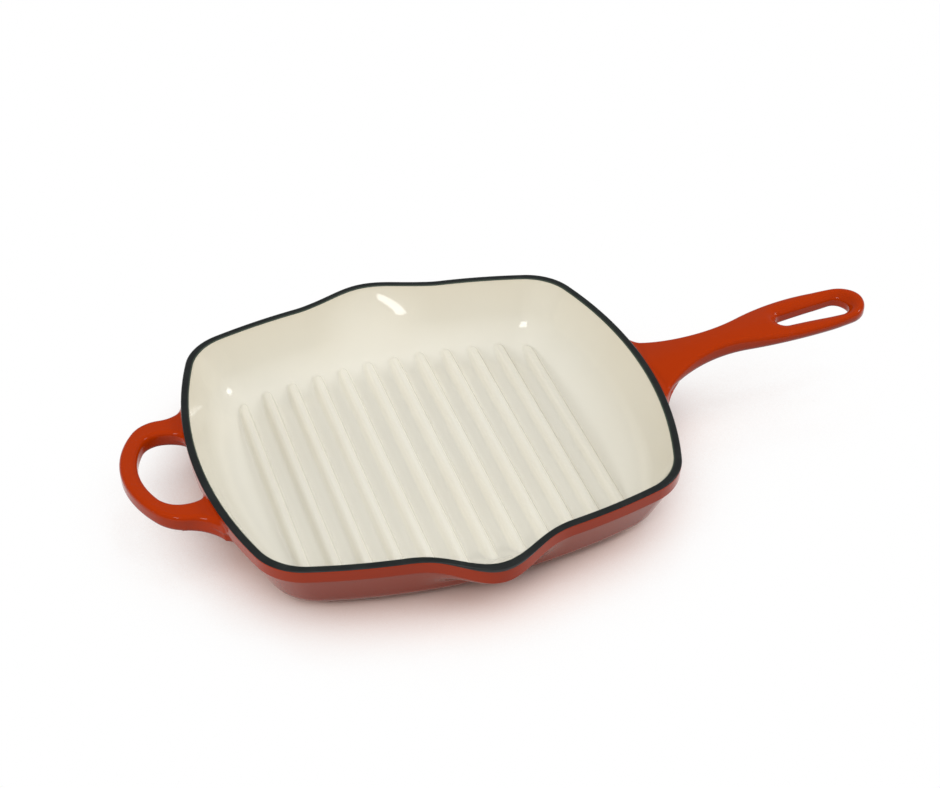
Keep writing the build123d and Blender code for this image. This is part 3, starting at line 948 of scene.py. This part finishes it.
class GRILLPAN_OT_rim(bpy.types.Operator):
    """Build the black ground coat that runs round the rim"""

    bl_idname = "grillpan.rim"
    bl_label = "Rim ground coat"

    def execute(self, context):
        form = basin_form()
        s = form.s
        outer = form.outline(0.0, s.inner_corner_share, s.lip_reach)
        inner = form.outline(s.rim_band, s.inner_corner_share, s.lip_reach)
        inward = (inner - outer) / s.rim_band
        beside = np.abs(outer[:, 1]) > s.half_width / 2
        at_lip = hump(np.abs(outer[:, 0]), s.lip_droop_span) * beside
        skirt = s.rim_skirt + s.lip_skirt * at_lip
        proud, crown = 0.06 * MM, 0.12 * MM

        def edge(depth):
            """How far the rounded edge is drawn in at a depth."""
            short = np.clip(s.rim_round - depth, 0, s.rim_round)
            return s.rim_round - np.sqrt(s.rim_round ** 2 - short ** 2) - proud

        steps = np.linspace(0, 1, 9)
        section = [(edge(skirt * (1 - t) ** 2), skirt * (1 - t) ** 2) for t in steps]
        level = s.rim_band - s.rim_round * 2
        flat = (s.rim_round + level * t for t in np.linspace(0, 1, 8)[1:-1])
        section += [(np.full(len(skirt), inset), np.zeros(len(skirt))) for inset in flat]
        low = [np.full(len(skirt), s.rim_skirt * t ** 2) for t in steps]
        section += [(s.rim_band - edge(depth), depth) for depth in low]
        top = s.rim_height - form.rim_drop(outer[:, 0]) + proud
        rings = []
        for inset, depth in section:
            plan = outer + inward * inset[:, None]
            middle = eased(2 - np.abs(inset / s.rim_band * 2 - 1) * 2)
            rings.append(np.column_stack([plan, top - depth + crown * (middle - 1)]))
        faces = ring_faces(len(rings), len(rings[0]), closed=True)
        faces = [f[::-1] for f in faces]
        rim = new_piece(
            "rim_coat", np.concatenate(rings), faces, satin_black(),
            ["rim_ground_coat"],
        )
        across = rim.data.attributes.new("across", "FLOAT", "POINT")
        across.data.foreach_set("value", np.repeat(np.linspace(0, 1, len(rings)), len(outer)))
        return {"FINISHED"}


class GRILLPAN_OT_inside(bpy.types.Operator):
    """Build the cream enamel of the inside, with its ridges"""

    bl_idname = "grillpan.inside"
    bl_label = "Inside enamel"

    def floor_height(self, form, x, y):
        """Height of the inside over the table at places near the floor."""
        s = form.s
        r = bpy.context.scene.grill_pan_ridges
        _, _, centre = form.inner_round()
        inset = np.full(x.shape, centre)
        for _ in range(8):
            inset -= form.gap(x, y, np.clip(inset, 0, centre * 1.2), s.inner_corner_share, 0.0)
        short = np.clip(centre - inset, 0, s.floor_round)
        bowl = s.floor_thickness + s.floor_round - np.sqrt(s.floor_round ** 2 - short ** 2)
        first = -r.pitch * (r.count - 1) / 2
        nearest = np.clip(np.round((x - first) / r.pitch), 0, r.count - 1)
        aside = np.hypot(x - first - nearest * r.pitch, np.maximum(short - r.end_start, 0))
        profile = eased((r.half_base - aside) / (r.half_base - r.half_top))
        ridge = s.floor_thickness + r.height * profile
        return softly_higher(bowl, ridge, r.end_blend * profile)

    def floor_places(self, form, ring):
        """Plan points of the floor: columns that follow the ridges, within a ring."""
        r = bpy.context.scene.grill_pan_ridges
        first = -r.pitch * (r.count - 1) / 2
        groove = r.pitch / 2 - r.half_base
        flank = np.linspace(r.half_top, r.half_base, 6)
        half = np.concatenate([[0, r.half_top * 0.6], flank, [r.half_base + groove * 0.5]])
        offsets = np.concatenate([-half[:0:-1], half, [r.pitch / 2]])
        columns = (first + r.pitch * np.arange(r.count)[:, None] + offsets[None, :]).ravel()
        edge = columns[-1]
        more = np.arange(edge + 1.5 * MM, form.s.half_length, 1.5 * MM)
        columns = np.concatenate([-more[::-1], [-edge], columns, more])
        rows = np.arange(-form.s.half_width, form.s.half_width, 1.3 * MM)
        x, y = (a.ravel() for a in np.meshgrid(columns, rows, indexing="ij"))
        keep = form.gap(x, y, ring + 0.7 * MM, form.s.inner_corner_share, 0.0) < 0
        return x[keep], y[keep]

    def execute(self, context):
        form = basin_form()
        s = form.s
        start, _, centre = form.inner_round()
        edge = s.rim_round * np.array([0.3, 0.42, 0.56, 0.75, 1.0])
        wall = np.concatenate([edge, np.linspace(2 * MM, start, 16)])
        turns = np.radians(np.linspace(math.degrees(s.lean), BOWL_TURN, 12))[1:]
        bowl = form.depth - s.floor_round + s.floor_round * np.sin(turns)
        depths = np.concatenate([wall, bowl])
        insets = form.inner_inset(depths)
        short = np.clip(s.rim_round - depths, 0, s.rim_round)
        insets = np.where(
            depths < s.rim_round,
            s.rim_band - s.rim_round + np.sqrt(s.rim_round ** 2 - short ** 2), insets,
        )
        rings = [form.inner_ring(d, float(i)) for d, i in zip(depths, insets)]
        around = len(rings[0])
        edge = rings[-1]
        ring_inset = float(insets[-1])
        x, y = self.floor_places(form, ring_inset)
        plan = [Vector(p[:2]) for p in edge] + [Vector(p) for p in zip(x, y)]
        lines = [(i, (i + 1) % around) for i in range(around)]
        flat, _, triangles, origin, _, _ = delaunay_2d_cdt(plan, lines, [], 1, 1e-7)
        flat = np.array([tuple(p) for p in flat])
        height = self.floor_height(form, flat[:, 0], flat[:, 1])
        for i, sources in enumerate(origin):
            if sources and sources[0] < around:
                height[i] = edge[sources[0], 2]
        floor_start = len(rings) * around
        points = np.concatenate(rings + [np.column_stack([flat, height])])
        faces = [f[::-1] for f in ring_faces(len(rings), around)]
        faces += [tuple(floor_start + i for i in t) for t in triangles]
        new_piece(
            "inside_coat", points, faces, glossy_cream(), ["interior_enamel"],
            doubled=0.005 * MM,
        )
        return {"FINISHED"}


def handle_piece(name, form, softness, low, high, nodes):
    """A handle with the fillet that joins it to the wall, without the wall itself."""
    h = bpy.context.scene.grill_pan_handles
    basin = basin_form()
    top = basin.s.rim_height

    def joined(x, y, z):
        soft = softness * np.clip((top - z) / JOINT_DEPTH - JOINT_EASE, JOINT_LEAST, 1)
        return blended(basin.outside(x, y, z), form.field(x, y, z), soft)

    points, quads = field_mesh(joined, low, high, h.fineness)
    off = basin.outside(*points.T)
    proud = (off > JOINT_SKIN)[quads].any(1) & (points[quads][:, :, 2] > low[2]).all(1)
    new_piece(name, points, quads[proud], glossy_orange(), nodes)


class GRILLPAN_OT_long_handle(bpy.types.Operator):
    """Build the long handle with its hang slot"""

    bl_idname = "grillpan.long_handle"
    bl_label = "Long handle"

    def execute(self, context):
        h = context.scene.grill_pan_handles
        form = LongHandleForm(context.scene.grill_pan_basin, h)
        low = (form.inner_end, -60 * MM, 16 * MM)
        high = (h.tip + 2 * MM, 60 * MM, h.tip_top + h.arch)
        handle_piece(
            "long_handle_coat", form, h.root_blend, low, high,
            ["long_handle_enamel", "long_handle_casting"],
        )
        return {"FINISHED"}


class GRILLPAN_OT_helper_handle(bpy.types.Operator):
    """Build the loop handle opposite the long one"""

    bl_idname = "grillpan.helper_handle"
    bl_label = "Helper handle"

    def execute(self, context):
        h = context.scene.grill_pan_handles
        form = LoopForm(context.scene.grill_pan_basin, h)
        low = (-h.loop_reach - 2 * MM, -66 * MM, 16 * MM)
        high = (-form.root + 8 * MM, 66 * MM, h.loop_top + 3.2 * MM)
        handle_piece(
            "helper_handle_coat", form, h.loop_blend, low, high,
            ["helper_handle_enamel", "helper_handle_casting"],
        )
        return {"FINISHED"}


class GRILLPAN_OT_iron(bpy.types.Operator):
    """Give the castings under the coats their iron finish"""

    bl_idname = "grillpan.iron"
    bl_label = "Iron"

    def execute(self, context):
        for name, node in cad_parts.items():
            if name.endswith("_casting"):
                node.data.materials.clear()
                node.data.materials.append(rough_iron())
        return {"FINISHED"}


class GRILLPAN_OT_stage(bpy.types.Operator):
    """Set up the floor, the light and the camera"""

    bl_idname = "grillpan.stage"
    bl_label = "Stage"

    def floor(self, context):
        """A plain floor: white where it is seen, but for the shadow close to the pan."""
        stage = context.scene.grill_pan_stage
        half = stage.floor_size / 2
        mesh = bpy.data.meshes.new("floor")
        corners = [(-half, -half, 0), (half, -half, 0), (half, half, 0), (-half, half, 0)]
        mesh.from_pydata(corners, [], [(0, 1, 2, 3)])
        floor = bpy.data.objects.new("floor", mesh)
        context.scene.collection.objects.link(floor)
        paint = Paint("white_floor")
        path = paint.node("ShaderNodeLightPath")
        ways = [Value(paint, path.outputs[name]) for name in SEEN_WAYS]
        seen = ways[0].higher(ways[1]).higher(ways[2])
        pale = paint.node("ShaderNodeBsdfDiffuse", {}, {"Color": (stage.floor_tone,) * 3 + (1.0,)})
        # Close to the pan the floor is lit by the lamps and tinted warm: painted bounce light from
        # the orange wall in its shadow
        near = paint.node("ShaderNodeBsdfDiffuse", {}, {"Color": rgba(stage.shadow_tint)})
        plain = paint.node("ShaderNodeEmission", {}, {"Strength": 1.0})
        cover = paint.node(
            "ShaderNodeAmbientOcclusion", {"samples": 8}, {"Distance": stage.shadow_reach}
        )
        free = paint.ramp(Value(paint, cover.outputs["AO"]), [(0.25, 0.0), (0.78, 1.0)])
        lit = paint.node(
            "ShaderNodeMixShader", {}, {0: free, 1: near.outputs[0], 2: plain.outputs[0]}
        )
        both = paint.node(
            "ShaderNodeMixShader", {}, {0: seen, 1: pale.outputs[0], 2: lit.outputs[0]}
        )
        paint.node("ShaderNodeOutputMaterial", {}, {"Surface": both.outputs[0]})
        mesh.materials.append(paint.material)

    def sky(self, context):
        world = bpy.data.worlds.new("soft_sky")
        world.use_nodes = True
        light = world.node_tree.nodes["Background"]
        light.inputs["Color"].default_value = (1, 1, 1, 1)
        light.inputs["Strength"].default_value = context.scene.grill_pan_stage.sky
        context.scene.world = world

    def lamp(self, context, name, turn, rise, away, size, glare, mirrored):
        """A soft box, placed by its direction from the pan; glare is its brightness."""
        turn, rise = math.radians(turn), math.radians(rise)
        way = Vector((math.cos(turn), math.sin(turn), math.tan(rise))).normalized()
        data = bpy.data.lights.new(name, "AREA")
        data.shape = "RECTANGLE"
        data.size, data.size_y = size
        power = glare * size[0] * size[1] * math.pi
        data.energy = power * context.scene.grill_pan_stage.lamps
        lamp = bpy.data.objects.new(name, data)
        lamp.location = way * away
        lamp.visible_glossy = mirrored
        lamp.rotation_mode = "QUATERNION"
        lamp.rotation_quaternion = way.to_track_quat("Z", "Y")
        context.scene.collection.objects.link(lamp)

    def camera(self, context):
        stage = context.scene.grill_pan_stage
        data = bpy.data.cameras.new("camera")
        data.lens = stage.lens
        data.sensor_width = 36.0
        data.sensor_fit = "HORIZONTAL"
        data.clip_start, data.clip_end = 0.05, 20.0
        camera = bpy.data.objects.new("camera", data)
        place, target = Vector(stage.camera_place), Vector(stage.camera_target)
        back = (place - target).normalized()
        right = Vector((0, 0, 1)).cross(back).normalized()
        up = back.cross(right)
        turn = stage.camera_roll
        right_2 = right * math.cos(turn) + up * math.sin(turn)
        up_2 = up * math.cos(turn) - right * math.sin(turn)
        axes = Matrix((right_2, up_2, back)).transposed()
        camera.matrix_world = Matrix.Translation(place) @ axes.to_4x4()
        context.scene.collection.objects.link(camera)
        context.scene.camera = camera

    def execute(self, context):
        self.floor(context)
        self.sky(context)
        for name, lamp in LAMPS.items():
            self.lamp(context, name, *lamp)
        self.camera(context)
        context.scene.view_settings.view_transform = "Standard"
        return {"FINISHED"}


SEEN_WAYS = ("Is Camera Ray", "Is Glossy Ray", "Is Transmission Ray")
# Direction and height in degrees, distance, size in metres, brightness, mirrored in the enamel
LAMPS = {
    "front_box": (-122, 45, 1.9, (0.45, 0.45), 8.0, True),
    "right_box": (-7, 33, 1.9, (0.35, 0.35), 8.0, True),
    "back_fill": (75, 40, 2.0, (0.8, 0.4), 3.0, False),
    "top_fill": (-90, 68, 2.3, (4.0, 3.0), 1.35, False),
    "left_fill": (185, 24, 1.9, (0.6, 0.6), 9.0, False),
    "right_fill": (0, 24, 1.9, (0.6, 0.6), 8.0, False),
}


class GRILLPAN_PT_panel(bpy.types.Panel):
    """Sizes, colours and steps of the grill pan"""

    bl_idname = "GRILLPAN_PT_panel"
    bl_label = "Grill pan"
    bl_space_type = "VIEW_3D"
    bl_region_type = "UI"
    bl_category = "Grill pan"

    def draw(self, context):
        for step in STEPS:
            self.layout.operator(step.bl_idname)
        for name, group in GROUPS.items():
            box = self.layout.box()
            box.label(text=group.__doc__)
            for setting in group.__annotations__:
                box.prop(getattr(context.scene, name), setting)


GROUPS = {
    "grill_pan_basin": GrillPanBasin,
    "grill_pan_ridges": GrillPanRidges,
    "grill_pan_handles": GrillPanHandles,
    "grill_pan_finish": GrillPanFinish,
    "grill_pan_stage": GrillPanStage,
}
STEPS = (
    GRILLPAN_OT_iron,
    GRILLPAN_OT_wall,
    GRILLPAN_OT_base,
    GRILLPAN_OT_rim,
    GRILLPAN_OT_inside,
    GRILLPAN_OT_long_handle,
    GRILLPAN_OT_helper_handle,
    GRILLPAN_OT_stage,
)


def register():
    for group in GROUPS.values():
        bpy.utils.register_class(group)
    for step in STEPS:
        bpy.utils.register_class(step)
    bpy.utils.register_class(GRILLPAN_PT_panel)
    for name, group in GROUPS.items():
        setattr(bpy.types.Scene, name, PointerProperty(type=group))


def unregister():
    for name in GROUPS:
        delattr(bpy.types.Scene, name)
    bpy.utils.unregister_class(GRILLPAN_PT_panel)
    for cls in (*reversed(STEPS), *reversed(GROUPS.values())):
        bpy.utils.unregister_class(cls)


def main():
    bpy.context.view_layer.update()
    register()
    for step in STEPS:
        group, name = step.bl_idname.split(".")
        getattr(getattr(bpy.ops, group), name)()


if __name__ == "__main__":
    main()
